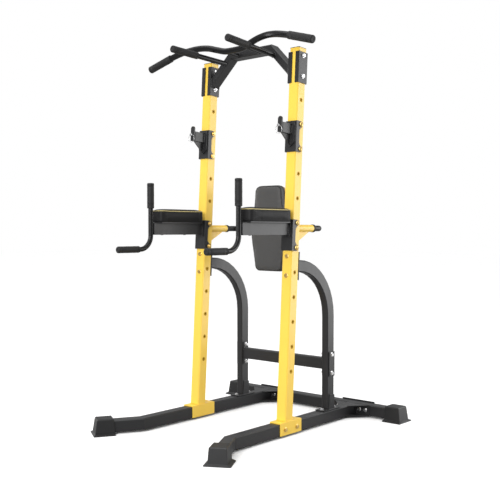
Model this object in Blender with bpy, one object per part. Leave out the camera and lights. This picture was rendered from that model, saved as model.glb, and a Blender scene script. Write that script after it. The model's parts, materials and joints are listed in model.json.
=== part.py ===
# Power tower: a free-standing station for pull-ups, dips and knee raises, with a pair of bar hooks.
# +X is to the right seen from the front, the front is -Y, and the floor is z = 0.
# Metres throughout. Each object is one physical piece. Every bolt hole is drilled, and the golden bolts
# of the sliding brackets are modelled; the fixed joints' own bolts are not.

import math

import bmesh
import bpy
from mathutils import Matrix, Vector

# Driving sizes
UPRIGHT_X = 0.3015          # uprights' centre plane, each side
UPRIGHT_Y = -0.0187         # where an upright's axis meets the top of its side rail
LEAN = math.radians(3.36)   # uprights lean back
TUBE = 0.060                # square tube of the uprights and base rails
WALL = 0.0020
GAP = 0.0003                # between pieces that meet
SLIDE_GAP = 0.0010          # between an upright and the brackets that slide on it
RAIL_BOTTOM = 0.010
RAIL_TOP = RAIL_BOTTOM + TUBE

HOLE_PITCH = 0.1227
FIRST_HOLE = 0.250          # up the upright from the top of its rail
HOLE_COUNT = 12
HOLE_R = 0.0065
SPLIT = 0.8475              # the upright's lower tube ends here and its upper tube starts
UPRIGHT_TOP = 1.8605
SPLICE_HOLES = (0.724, 0.820)
CLAMP_HOLES = (1.719, 1.822)
HOOK_HOLE = 9               # lower of the two holes a bar hook is bolted through
ARM_HOLE = 5

BEND_Y = UPRIGHT_Y - 0.404  # side rails turn outward here
SPLAY = math.radians(30)
LEG = 0.228                 # from the bend to the tube's front end
SADDLE_Y = (UPRIGHT_Y - 0.072, UPRIGHT_Y + 0.094)
SADDLE_BOLTS = (UPRIGHT_Y - 0.034, UPRIGHT_Y + 0.058)
REAR_Y = UPRIGHT_Y + 0.627  # rear rail's centre line
REAR_HALF = 0.598
FLANGE_HALF = 0.112
FLANGE_BOLTS = (-0.088, -0.050, 0.050, 0.088)
RAIL_MID = 0.040

BRACE_X = 0.040             # brace tube: width across, and depth in its own plane
BRACE_D = 0.060
BRACE_Z = 0.839             # centre line of the brace's level top
COLUMN_Y = UPRIGHT_Y + 0.368
BRACE_BEND = 0.270
FOOT_BOLTS = (COLUMN_Y - 0.052, COLUMN_Y + 0.052)
CROSS_Z = 0.313
CROSS_BOLTS = (CROSS_Z - 0.049, CROSS_Z + 0.049)
CROSS_D = 0.040

FRAME_TUBE = 0.040          # pull-up frame: tube height, and depth from front to back
FRAME_DEPTH = 0.060
FRAME_S = 1.881             # its level top's centre line, measured up the uprights
FRAME_CORNER = 0.1385
CLAMP_S = (1.684, 1.840)
CLAMP_WRAP = 0.020
BAR_R = 0.016
NEUTRAL_R = 0.0135

ARM_Z = (0.995, 1.055)      # dip arm's tube
ARM_X = 0.030
HANDLE_Y = UPRIGHT_Y - 0.340
HANDLE_R = 0.0125
LOWER_Z = 0.922
HANDLE_BEND = 0.070
PAD_X = 0.094
PAD_Z = (ARM_Z[1] + 0.0053, 1.127)
PAD_Y = (UPRIGHT_Y - 0.308, UPRIGHT_Y + 0.010)

PEG_Z = 1.028               # backrest's sockets and tube
PEG_R = 0.015
SOCKET_END = UPRIGHT_Y + 0.222
BACK_TUBE_Y = UPRIGHT_Y + 0.306
BACK_PAD_Y = (UPRIGHT_Y + 0.228, UPRIGHT_Y + 0.267)

SIDES = {"left": -1, "right": 1}

for old in list(bpy.data.objects):
    bpy.data.objects.remove(old, do_unlink=True)


def finish(name, colour, roughness, metallic):
    material = bpy.data.materials.new(name)
    material.use_nodes = True
    shader = material.node_tree.nodes["Principled BSDF"]
    shader.inputs["Base Color"].default_value = (*colour, 1.0)
    shader.inputs["Roughness"].default_value = roughness
    shader.inputs["Metallic"].default_value = metallic
    return material


YELLOW = finish("yellow_powder_coat", (0.95, 0.60, 0.05), 0.40, 0.0)
BLACK = finish("black_powder_coat", (0.045, 0.045, 0.047), 0.45, 0.0)
FOAM = finish("black_foam", (0.020, 0.020, 0.020), 0.75, 0.0)
PLASTIC = finish("black_plastic", (0.025, 0.025, 0.025), 0.50, 0.0)
LEATHERETTE = finish("grey_leatherette", (0.060, 0.058, 0.056), 0.55, 0.0)
PLYWOOD = finish("plywood", (0.35, 0.24, 0.14), 0.70, 0.0)
ZINC = finish("bright_zinc", (0.62, 0.62, 0.62), 0.30, 1.0)
GOLD_ZINC = finish("yellow_zinc", (0.75, 0.55, 0.20), 0.35, 1.0)


# ---- making solids -------------------------------------------------------------------------------

def piece(name, mesh_data, material=None, origin=(0, 0, 0)):
    """Turn a bmesh in world coordinates into an object whose origin is at the given point."""
    bmesh.ops.recalc_face_normals(mesh_data, faces=mesh_data.faces[:])
    bmesh.ops.translate(mesh_data, verts=mesh_data.verts[:], vec=-Vector(origin))
    mesh = bpy.data.meshes.new(name)
    mesh_data.to_mesh(mesh)
    mesh_data.free()
    obj = bpy.data.objects.new(name, mesh)
    obj.location = origin
    bpy.context.collection.objects.link(obj)
    if material:
        mesh.materials.append(material)
    return obj


def combine(obj, others, operation):
    """Boolean the other objects into this one, then remove them."""
    for other in others:
        modifier = obj.modifiers.new(operation.lower(), "BOOLEAN")
        modifier.operation = operation
        modifier.solver = "EXACT"
        modifier.object = other
    bpy.context.view_layer.update()
    graph = bpy.context.evaluated_depsgraph_get()
    mesh = bpy.data.meshes.new_from_object(obj.evaluated_get(graph))
    obj.modifiers.clear()
    obj.data = mesh
    for other in others:
        bpy.data.objects.remove(other, do_unlink=True)
    return obj


def fuse(obj, *others):
    return combine(obj, others, "UNION")


def cut(obj, *others):
    return combine(obj, others, "DIFFERENCE")


def smooth(obj, degrees=35):
    obj.data.shade_smooth()
    obj.data.set_sharp_from_angle(angle=math.radians(degrees))
    return obj


def leaning(side, x, n, s):
    """World point from an upright's own axes: x across, n towards the back, s up the tube."""
    y = UPRIGHT_Y + s * math.sin(LEAN) + n * math.cos(LEAN)
    z = RAIL_TOP + s * math.cos(LEAN) - n * math.sin(LEAN)
    return Vector((side * UPRIGHT_X + x, y, z))


def lean_matrix(side):
    return Matrix.Translation((side * UPRIGHT_X, UPRIGHT_Y, RAIL_TOP)) @ Matrix.Rotation(-LEAN, 4, "X")


def box(low, high, matrix=None):
    data = bmesh.new()
    bmesh.ops.create_cube(data, size=1.0)
    size = [high[i] - low[i] for i in range(3)]
    middle = [(high[i] + low[i]) / 2 for i in range(3)]
    place = Matrix.Translation(middle) @ Matrix.Diagonal((*size, 1))
    bmesh.ops.transform(data, verts=data.verts[:], matrix=place)
    if matrix:
        bmesh.ops.transform(data, verts=data.verts[:], matrix=matrix)
    return data


def rectangle(width, height, corner):
    """Outline of a rolled tube: a rectangle with chamfered corners."""
    w = width / 2
    h = height / 2
    return [(w, corner - h), (w, h - corner), (w - corner, h), (corner - w, h),
            (-w, h - corner), (-w, corner - h), (corner - w, -h), (w - corner, -h)]


def circle(radius, sides):
    return [(radius * math.cos(2 * math.pi * i / sides), radius * math.sin(2 * math.pi * i / sides))
            for i in range(sides)]


def loft(stations, outer, inner=None, data=None):
    """Sweep an outline through stations (point, across, up). With an inner outline it is a tube."""
    data = data or bmesh.new()
    loops = []
    for outline in (outer, inner):
        if outline is None:
            continue
        rings = [[data.verts.new(point + across * u + up * v) for u, v in outline]
                 for point, across, up in stations]
        for low, high in zip(rings, rings[1:]):
            for i in range(len(outline)):
                j = (i + 1) % len(outline)
                data.faces.new((low[i], low[j], high[j], high[i]))
        loops.append(rings)
    for end in (0, -1):
        if inner is None:
            data.faces.new(loops[0][end])
            continue
        for i in range(len(outer)):
            j = (i + 1) % len(outer)
            data.faces.new((loops[0][end][i], loops[0][end][j], loops[1][end][j], loops[1][end][i]))
    return data


def path_stations(points, up):
    """Stations along a path, mitred at its corners in the plane across `up`."""
    points = [Vector(p) for p in points]
    up = Vector(up).normalized()
    stations = []
    for i, point in enumerate(points):
        before = (point - points[i - 1]).normalized() if i else None
        after = (points[i + 1] - point).normalized() if i < len(points) - 1 else None
        along = ((before or after) + (after or before)).normalized()
        across = along.cross(up).normalized()
        stretch = 1.0 / along.dot(before or after)
        stations.append((point, across * stretch, across.cross(along).normalized()))
    return stations


def rect_tube(points, up, width, depth, wall=WALL, corner=0.005):
    outer = rectangle(width, depth, corner)
    inner = rectangle(width - 2 * wall, depth - 2 * wall, corner - wall * 0.6)
    return loft(path_stations(points, up), outer, inner)


def round_tube(stations, radius, sides):
    """Hollow round tube through the stations, open at both ends."""
    return loft(stations, circle(radius, sides), circle(radius - WALL, sides))


def cylinder(start, end, radius, sides=8, data=None):
    start = Vector(start)
    end = Vector(end)
    along = (end - start).normalized()
    helper = Vector((0, 0, 1)) if abs(along.z) < 0.9 else Vector((1, 0, 0))
    across = along.cross(helper).normalized()
    up = across.cross(along)
    return loft([(start, across, up), (end, across, up)], circle(radius, sides), data=data)


def turned(start, direction, profile, sides, data=None):
    """Solid of revolution: profile is (distance along, radius) pairs, closed onto the axis or itself."""
    data = data or bmesh.new()
    start = Vector(start)
    along = Vector(direction).normalized()
    helper = Vector((0, 0, 1)) if abs(along.z) < 0.9 else Vector((1, 0, 0))
    across = along.cross(helper).normalized()
    up = across.cross(along)
    rings = []
    for distance, radius in profile:
        centre = start + along * distance
        if radius == 0:
            rings.append([data.verts.new(centre)])
            continue
        rings.append([data.verts.new(centre + across * u + up * v) for u, v in circle(radius, sides)])
    pairs = list(zip(rings, rings[1:]))
    if len(rings[0]) > 1:
        pairs.append((rings[-1], rings[0]))
    for low, high in pairs:
        for i in range(sides):
            j = (i + 1) % sides
            corners = [low[i % len(low)], low[j % len(low)], high[j % len(high)], high[i % len(high)]]
            data.faces.new(list(dict.fromkeys(corners)))
    return data


def plate(outline, start, step, matrix=None, axes="xz"):
    """Flat plate: an outline in two axes, thickened from `start` by `step` along the third."""
    order = {"xz": (0, 2, 1), "yz": (1, 2, 0), "xy": (0, 1, 2)}[axes]
    data = bmesh.new()
    rings = []
    for depth in (start, start + step):
        ring = []
        for u, v in outline:
            point = [0.0, 0.0, 0.0]
            point[order[0]] = u
            point[order[1]] = v
            point[order[2]] = depth
            ring.append(data.verts.new(point))
        rings.append(ring)
    for i in range(len(outline)):
        j = (i + 1) % len(outline)
        data.faces.new((rings[0][i], rings[0][j], rings[1][j], rings[1][i]))
    data.faces.new(rings[0])
    data.faces.new(rings[1])
    if matrix:
        bmesh.ops.transform(data, verts=data.verts[:], matrix=matrix)
    return data


def arc(centre, radius, start, end, steps):
    """Points on an arc in a plane; angles in degrees."""
    points = []
    for i in range(steps + 1):
        angle = math.radians(start + (end - start) * i / steps)
        points.append((centre[0] + radius * math.cos(angle), centre[1] + radius * math.sin(angle)))
    return points


def holes(targets, centres, direction, reach, radius=0.0058):
    """Drill every target at each centre, reaching as far to both sides along the direction."""
    direction = Vector(direction).normalized()
    for target in targets:
        data = bmesh.new()
        for centre in centres:
            centre = Vector(centre)
            cylinder(centre - direction * reach, centre + direction * reach, radius, data=data)
        cut(target, piece("drill", data))


def sleeve(name, mouth, direction, length, bore, outside, material, sides=16):
    """Grip sleeve: open at its mouth, closed and rounded at its far end."""
    inner_end = length - 0.005
    profile = [(inner_end, 0), (inner_end, bore), (0.0, bore), (0.001, outside - 0.001), (0.003, outside),
               (length - 0.003, outside), (length, outside - 0.003), (length, 0)]
    solid = turned(mouth, direction, profile, sides)
    return smooth(piece(name, solid, material))


# ---- base ----------------------------------------------------------------------------------------

def saddle_bolt_seats(side):
    """Saddle bolts go through the outer cheek and the rail's outer wall only."""
    return [(side * (UPRIGHT_X + TUBE / 2), y, RAIL_MID) for y in SADDLE_BOLTS]


def side_rail(word, side):
    """Square tube on the floor, splayed outward in front, with a gusseted flange at its back end."""
    x = side * UPRIGHT_X
    back = REAR_Y - TUBE / 2 - GAP
    flange = back - 0.005
    front = (x + side * LEG * math.sin(SPLAY), BEND_Y - LEG * math.cos(SPLAY), RAIL_MID)
    path = [front, (x, BEND_Y, RAIL_MID), (x, flange + 0.001, RAIL_MID)]
    rail = piece("side_rail_" + word, rect_tube(path, (0, 0, 1), TUBE, TUBE), BLACK)
    parts = [box((x - FLANGE_HALF, flange, RAIL_BOTTOM), (x + FLANGE_HALF, back, RAIL_TOP))]
    for way in (-1, 1):
        edge = x + way * (TUBE / 2 - 0.001)
        tip = x + way * (FLANGE_HALF - 0.004)
        corner = [(edge, flange - 0.085), (edge, flange + 0.001), (tip, flange + 0.001)]
        for level in (RAIL_TOP - 0.005, RAIL_BOTTOM + 0.001):
            parts.append(plate(corner, level, 0.004, axes="xy"))
    fuse(rail, *[piece("part", data) for data in parts])
    holes([rail], saddle_bolt_seats(side), (1, 0, 0), 0.01)
    holes([rail], [(x, y, RAIL_TOP) for y in FOOT_BOLTS], (0, 0, 1), 0.01)
    holes([rail], [(x + offset, back, RAIL_MID) for offset in FLANGE_BOLTS], (0, 1, 0), 0.02)


def rear_rail():
    path = [(-REAR_HALF, REAR_Y, RAIL_MID), (REAR_HALF, REAR_Y, RAIL_MID)]
    rail = piece("rear_rail", rect_tube(path, (0, 0, 1), TUBE, TUBE), BLACK)
    centres = [(side * UPRIGHT_X + offset, REAR_Y, RAIL_MID) for side in (-1, 1) for offset in FLANGE_BOLTS]
    holes([rail], centres, (0, 1, 0), 0.05)


def rear_plate(word, side):
    """Backing plate behind the rear rail, under the flange bolts' nuts."""
    x = side * UPRIGHT_X
    face = REAR_Y + TUBE / 2 + GAP
    data = box((x - 0.105, face, RAIL_BOTTOM), (x + 0.105, face + 0.005, RAIL_TOP + 0.006))
    solid = piece("rear_plate_" + word, data, BLACK)
    holes([solid], [(x + offset, face, RAIL_MID) for offset in FLANGE_BOLTS], (0, 1, 0), 0.02)


def boot(name, tube_end, heading):
    """Moulded foot pushed over a tube's end: a tapered sleeve on a flared sole. Heading points outward."""
    rows = [(0.000, 0.062, -0.086, 0.022), (0.005, 0.062, -0.086, 0.022), (0.012, 0.0445, -0.084, 0.013),
            (0.076, 0.0410, -0.081, 0.004), (0.082, 0.0370, -0.078, 0.000)]
    data = bmesh.new()
    rings = []
    for z, half, back, front in rows:
        corners = [(half, back), (half, front), (-half, front), (-half, back)]
        rings.append([data.verts.new((u, v, z)) for u, v in corners])
    for low, high in zip(rings, rings[1:]):
        for i in range(4):
            j = (i + 1) % 4
            data.faces.new((low[i], low[j], high[j], high[i]))
    data.faces.new(rings[0])
    data.faces.new(rings[-1])
    half = TUBE / 2 + GAP
    cavity = box((-half, -0.2, RAIL_BOTTOM - GAP), (half, GAP, RAIL_TOP + GAP))
    turn = Matrix.Translation((tube_end[0], tube_end[1], 0)) @ Matrix.Rotation(heading, 4, "Z")
    for shape in (data, cavity):
        bmesh.ops.transform(shape, verts=shape.verts[:], matrix=turn)
    cut(piece(name, data, PLASTIC), piece("cavity", cavity))


def boots():
    for word, side in SIDES.items():
        front = (side * (UPRIGHT_X + LEG * math.sin(SPLAY)), BEND_Y - LEG * math.cos(SPLAY))
        boot("boot_front_" + word, front, math.pi + side * SPLAY)
        boot("boot_rear_" + word, (side * REAR_HALF, REAR_Y), -side * math.pi / 2)


# ---- uprights ------------------------------------------------------------------------------------

def upright_tube(side, low, high, outside=TUBE, wall=WALL):
    across = Vector((1, 0, 0))
    back = (leaning(side, 0, 0, 1) - leaning(side, 0, 0, 0)).cross(across)
    stations = [(leaning(side, 0, 0, s), across, back) for s in (low, high)]
    inner = outside - 2 * wall
    return loft(stations, rectangle(outside, outside, 0.005), rectangle(inner, inner, 0.0035))


def hole_centres(side, numbers):
    return [leaning(side, 0, 0, FIRST_HOLE + HOLE_PITCH * number) for number in numbers]


def back_direction():
    return Vector((0, math.cos(LEAN), -math.sin(LEAN)))


def upright_lower(word, side):
    """Lower tube, welded to a saddle that straddles the side rail."""
    x = side * UPRIGHT_X
    tube = piece("upright_lower_" + word, upright_tube(side, 0.0045, SPLIT - GAP), YELLOW)
    half = TUBE / 2 + GAP
    out = half + 0.004
    top = box((x - out, SADDLE_Y[0], RAIL_TOP + GAP), (x + out, SADDLE_Y[1], RAIL_TOP + 0.006))
    cheeks = [box((x - out, SADDLE_Y[0], RAIL_BOTTOM + 0.002), (x - half, SADDLE_Y[1], RAIL_TOP + 0.001)),
              box((x + half, SADDLE_Y[0], RAIL_BOTTOM + 0.002), (x + out, SADDLE_Y[1], RAIL_TOP + 0.001))]
    fuse(tube, piece("top", top), *[piece("cheek", cheek) for cheek in cheeks])
    holes([tube], saddle_bolt_seats(side), (1, 0, 0), 0.01)
    holes([tube], hole_centres(side, range(ARM_HOLE)), (1, 0, 0), 0.05, HOLE_R)
    holes([tube], [leaning(side, 0, 0, s) for s in SPLICE_HOLES], back_direction(), 0.05)


def upright_upper(word, side):
    """Upper tube, with a gusseted socket for the backrest welded to its back."""
    x = side * UPRIGHT_X
    tube = piece("upright_upper_" + word, upright_tube(side, SPLIT + GAP, UPRIGHT_TOP), YELLOW)
    wall_y = leaning(side, 0, TUBE / 2, (PEG_Z - RAIL_TOP) / math.cos(LEAN)).y
    length = SOCKET_END - wall_y
    profile = [(0, 0.0163), (0, 0.0185), (length, 0.0185), (length, 0.0163)]
    socket = turned((x, wall_y - 0.0008, PEG_Z), (0, 1, 0), profile, 16)
    web = [(wall_y - 0.002, PEG_Z - 0.017), (SOCKET_END - 0.025, PEG_Z - 0.017),
           (SOCKET_END - 0.030, PEG_Z - 0.020), (wall_y - 0.006, PEG_Z - 0.080)]
    fuse(tube, piece("socket", socket), piece("gusset", plate(web, x - 0.0025, 0.005, axes="yz")))
    holes([tube], hole_centres(side, range(ARM_HOLE, HOLE_COUNT)), (1, 0, 0), 0.05, HOLE_R)
    holes([tube], [leaning(side, 0, 0, s) for s in CLAMP_HOLES], (1, 0, 0), 0.05)
    smooth(tube)


def upright_splice(word, side):
    """Inner sleeve that joins the lower and upper tubes."""
    outside = TUBE - 2 * WALL - 2 * GAP
    tube = piece("upright_splice_" + word, upright_tube(side, 0.700, 1.000, outside, 0.002), BLACK)
    holes([tube], hole_centres(side, (4, 5, 6)), (1, 0, 0), 0.05, HOLE_R)
    holes([tube], [leaning(side, 0, 0, s) for s in SPLICE_HOLES], back_direction(), 0.05)


def upright_cap(word, side):
    """Plastic plug: a shallow lid on a shank pushed into the tube's end."""
    matrix = lean_matrix(side)
    half = TUBE / 2
    plug = half - WALL - 2 * GAP
    base = UPRIGHT_TOP + GAP
    rows = [(half - 0.0005, base), (half - 0.0005, base + 0.002), (half - 0.007, base + 0.005)]
    data = bmesh.new()
    corners = ((1, 1), (-1, 1), (-1, -1), (1, -1))
    rings = [[data.verts.new((u * r, v * r, s)) for u, v in corners] for r, s in rows]
    for low, high in zip(rings, rings[1:]):
        for i in range(4):
            j = (i + 1) % 4
            data.faces.new((low[i], low[j], high[j], high[i]))
    data.faces.new(rings[0])
    data.faces.new(rings[-1])
    bmesh.ops.transform(data, verts=data.verts[:], matrix=matrix)
    lid = piece("upright_cap_" + word, data, PLASTIC)
    plug -= 0.002
    shank = box((-plug, -plug, base - 0.018), (plug, plug, base + 0.001), matrix)
    fuse(lid, piece("shank", shank))


# ---- rear braces and their crossbar --------------------------------------------------------------

def rear_brace(word, side):
    """Bent tube from the upright's back down to the side rail, with a plate welded on each end."""
    x = side * UPRIGHT_X
    bend_y = COLUMN_Y - BRACE_BEND
    bend_z = BRACE_Z - BRACE_BEND
    start = UPRIGHT_Y + 0.0785
    curve = arc((bend_y, bend_z), BRACE_BEND, 90, 0, 10)
    path = [(x, start, BRACE_Z)] + [(x, y, z) for y, z in curve] + [(x, COLUMN_Y, RAIL_TOP + 0.003)]
    brace = piece("rear_brace_" + word, rect_tube(path, (1, 0, 0), BRACE_D, BRACE_X), BLACK)
    near = TUBE / 2 + GAP
    top = box((-0.030, near, 0.702), (0.030, near + 0.006, 0.844), lean_matrix(side))
    foot = box((x - 0.030, COLUMN_Y - 0.072, RAIL_TOP + GAP), (x + 0.030, COLUMN_Y + 0.072, RAIL_TOP + 0.005))
    parts = [piece("top", top), piece("foot", foot)]
    for way in (-1, 1):
        outer = BRACE_X / 2 + 0.004
        cheek = [(COLUMN_Y - 0.021, RAIL_TOP + 0.003), (COLUMN_Y + 0.028, RAIL_TOP + 0.003),
                 (COLUMN_Y + 0.028, RAIL_TOP + 0.078), (COLUMN_Y - 0.015, RAIL_TOP + 0.084)]
        start_x = x + way * outer
        parts.append(piece("cheek", plate(cheek, start_x, -way * 0.005, axes="yz")))
    fuse(brace, *parts)
    holes([brace], [(x, y, RAIL_TOP) for y in FOOT_BOLTS] + [(x, COLUMN_Y, RAIL_TOP)], (0, 0, 1), 0.02)
    holes([brace], [leaning(side, 0, TUBE / 2, s) for s in SPLICE_HOLES], back_direction(), 0.012)
    holes([brace], [(x, COLUMN_Y, z) for z in CROSS_BOLTS], (1, 0, 0), 0.04)


def brace_crossbar():
    """Level tube between the braces with a bolted plate on each end."""
    end = UPRIGHT_X - BRACE_X / 2 - GAP
    path = [(-end + 0.004, COLUMN_Y, CROSS_Z), (end - 0.004, COLUMN_Y, CROSS_Z)]
    bar = piece("brace_crossbar", rect_tube(path, (0, 0, 1), CROSS_D, 0.060, corner=0.004), BLACK)
    plates = [box((way * end - 0.005 * (way > 0), COLUMN_Y - 0.020, CROSS_Z - 0.064),
                  (way * end + 0.005 * (way < 0), COLUMN_Y + 0.020, CROSS_Z + 0.064)) for way in (-1, 1)]
    fuse(bar, *[piece("end", data) for data in plates])
    for way in (-1, 1):
        centres = [(way * end, COLUMN_Y, z) for z in (*CROSS_BOLTS, CROSS_Z)]
        holes([bar], centres, (1, 0, 0), 0.02)


def crossbar_plate(word, side):
    """Backing plate on a brace's outer face."""
    face = UPRIGHT_X + BRACE_X / 2 + GAP
    low = min(side * face, side * (face + 0.005))
    data = box((low, COLUMN_Y - 0.021, CROSS_Z - 0.065), (low + 0.005, COLUMN_Y + 0.027, CROSS_Z + 0.065))
    solid = piece("crossbar_plate_" + word, data, BLACK)
    holes([solid], [(side * face, COLUMN_Y, z) for z in CROSS_BOLTS], (1, 0, 0), 0.02)


# ---- pull-up frame and bars ----------------------------------------------------------------------

def channel(side, way, wrap, low, high, gap, facing="x"):
    """Channel round one face of an upright. It faces along x for the clamps and along y for the brackets."""
    inner = TUBE / 2 + gap
    outer = inner + 0.004
    outline = [(outer, -outer), (outer, outer), (inner - wrap, outer), (inner - wrap, inner),
               (inner, inner), (inner, -inner), (inner - wrap, -inner), (inner - wrap, -outer)]
    outline = [(way * u, v) if facing == "x" else (v, way * u) for u, v in outline]
    return plate(outline, low, high - low, lean_matrix(side), axes="xy")


def pull_up_frame():
    """Arched tube between the uprights, a channel welded on each end."""
    web = UPRIGHT_X - TUBE / 2 - GAP - 0.002
    drop = FRAME_S - (web - FRAME_CORNER)
    shape = [(-web, drop), (-FRAME_CORNER, FRAME_S), (FRAME_CORNER, FRAME_S), (web, drop)]
    up = leaning(1, 0, 0, 1) - leaning(1, 0, 0, 0)
    back = back_direction()
    stations = path_stations([leaning(0, x, 0, s) for x, s in shape], back)
    for i in (0, 3):
        stations[i] = (stations[i][0], up * math.sqrt(2), stations[i][2])
    outer = rectangle(FRAME_TUBE, FRAME_DEPTH, 0.005)
    inner = rectangle(FRAME_TUBE - 2 * WALL, FRAME_DEPTH - 2 * WALL, 0.0035)
    frame = piece("pull_up_frame", loft(stations, outer, inner), BLACK)
    fuse(frame, *[piece("channel", channel(side, -side, CLAMP_WRAP, *CLAMP_S, GAP)) for side in (-1, 1)])
    for side in (-1, 1):
        inside = [leaning(side, -side * TUBE / 2, 0, s) for s in (*CLAMP_HOLES, drop)]
        holes([frame], inside, (1, 0, 0), 0.01)


def frame_clamp(word, side):
    clamp = piece("frame_clamp_" + word, channel(side, side, CLAMP_WRAP, *CLAMP_S, GAP), BLACK)
    holes([clamp], [leaning(side, side * TUBE / 2, 0, s) for s in CLAMP_HOLES], (1, 0, 0), 0.01)


def smooth_curve(knots, steps):
    """Catmull-Rom curve through the knots."""
    knots = [Vector(k) for k in knots]
    knots = [2 * knots[0] - knots[1]] + knots + [2 * knots[-1] - knots[-2]]
    points = []
    for a, b, c, d in zip(knots, knots[1:], knots[2:], knots[3:]):
        for i in range(steps):
            t = i / steps
            points.append(0.5 * (2 * b + (c - a) * t + (2 * a - 5 * b + 4 * c - d) * t * t
                                 + (3 * b - a - 3 * c + d) * t * t * t))
    return points + [knots[-2]]


GRIP_START = (0.400, -0.205, 1.866)     # where the wide grips start: across, forward, up the uprights
GRIP_END = (0.550, -0.215, 1.820)
NEUTRAL_START = (0.166, -FRAME_DEPTH / 2 - GAP, 1.842)
NEUTRAL_END = (0.188, -0.398, 1.841)
STRUT_X = 0.075
BAR_HALF = [(0, -0.148, 1.864), (0.060, -0.150, 1.866), (0.110, -0.158, 1.878), (0.170, -0.163, 1.894),
            (0.235, -0.172, 1.899), (0.300, -0.190, 1.890), (0.350, -0.200, 1.879), GRIP_START]


def pull_up_bar():
    """One bent tube ahead of the frame, on two short struts, with its ends turned down into wide grips."""
    half = smooth_curve(BAR_HALF, 3) + [Vector(GRIP_END)]
    whole = [Vector((-p.x, p.y, p.z)) for p in reversed(half[1:])] + half
    points = [leaning(0, *p) for p in whole]
    stations = [(p, a.normalized(), u) for p, a, u in path_stations(points, (0, 0.3, 1))]
    bar = piece("pull_up_bar", round_tube(stations, BAR_R, 12), BLACK)
    struts = [cylinder(leaning(0, way * STRUT_X, -FRAME_DEPTH / 2 - GAP, 1.872),
                       leaning(0, way * STRUT_X, -0.150, 1.872), NEUTRAL_R * 0.9, 10) for way in (-1, 1)]
    fuse(bar, *[piece("strut", data) for data in struts])
    smooth(bar, 60)


def bar_grip(word, side):
    start = leaning(0, side * GRIP_START[0], *GRIP_START[1:])
    end = leaning(0, side * GRIP_END[0], *GRIP_END[1:])
    along = (end - start).normalized()
    length = (end - start).length + 0.0025
    sleeve("bar_grip_" + word, start + along * 0.004, along, length, BAR_R + 0.0004, 0.0195, FOAM)


def neutral_bar(word, side):
    """Straight handle welded square to the frame's sloping side."""
    stations = []
    up = leaning(1, 0, 0, 1) - leaning(1, 0, 0, 0)
    for x, n, s in (NEUTRAL_START, NEUTRAL_END):
        stations.append((leaning(0, side * x, n, s), Vector((1, 0, 0)), up))
    smooth(piece("neutral_bar_" + word, round_tube(stations, NEUTRAL_R, 12), BLACK), 60)


def neutral_grip(word, side):
    start = leaning(0, side * NEUTRAL_START[0], *NEUTRAL_START[1:])
    end = leaning(0, side * NEUTRAL_END[0], *NEUTRAL_END[1:])
    along = (end - start).normalized()
    mouth = end - along * 0.165
    sleeve("neutral_grip_" + word, mouth, along, 0.165 + 0.0065, NEUTRAL_R + 0.0004, 0.0180, FOAM)


# ---- bar hooks -----------------------------------------------------------------------------------

def bracket(side, low_hole):
    """Channel that slides on the upright: its flanges reach back only to an ear round each bolt."""
    low = FIRST_HOLE + HOLE_PITCH * low_hole
    high = low + HOLE_PITCH
    ear = 0.016
    waist = -0.010
    edge = [(0.0, low - ear - 0.01), (0.0, low - ear)] + arc((0, low), ear, -60, 60, 4)
    edge += [(0.0, low + ear), (waist, low + 0.030), (waist, high - 0.030), (0.0, high - ear)]
    edge += arc((0, high), ear, -60, 60, 4) + [(0.0, high + ear), (0.0, high + ear + 0.01)]
    waste = edge + [(0.05, high + ear + 0.01), (0.05, low - ear - 0.01)]
    web = piece("bracket", channel(side, -1, 0.060, low - ear, high + ear, SLIDE_GAP, "y"))
    cut(web, piece("waste", plate(waste, -0.05, 0.1, lean_matrix(side), axes="yz")))
    holes([web], hole_centres(side, (low_hole, low_hole + 1)), (1, 0, 0), 0.05)
    return web


def bracket_bolts(name, side, low_hole, origin):
    """Two domed bolts in the bracket's outer flange. Each is a head and the shank inside the flange."""
    face = TUBE / 2 + SLIDE_GAP + 0.004
    stub = face - TUBE / 2 - GAP
    dome = [(-0.0095, 0), (-0.008, 0.0065), (-0.004, 0.0108), (-GAP, 0.0120), (-GAP, 0.005),
            (stub, 0.005), (stub, 0)]
    for word, centre in zip(("lower", "upper"), hole_centres(side, (low_hole, low_hole + 1))):
        data = turned(centre + Vector((side * face, 0, 0)), (-side, 0, 0), dome, 12)
        smooth(piece(name + "_" + word, data, GOLD_ZINC, origin))


HOOK_TUBE = (1.4245, 1.4755)     # bottom and top of a hook's arm, up the upright
HOOK_LIP = 1.490
HOOK_FRONT = -0.1246
HOOK_HALF = 0.013
PIN_S = 1.456


def slide_origin(side, low_hole):
    return leaning(side, 0, 0, FIRST_HOLE + HOLE_PITCH * low_hole)


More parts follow.
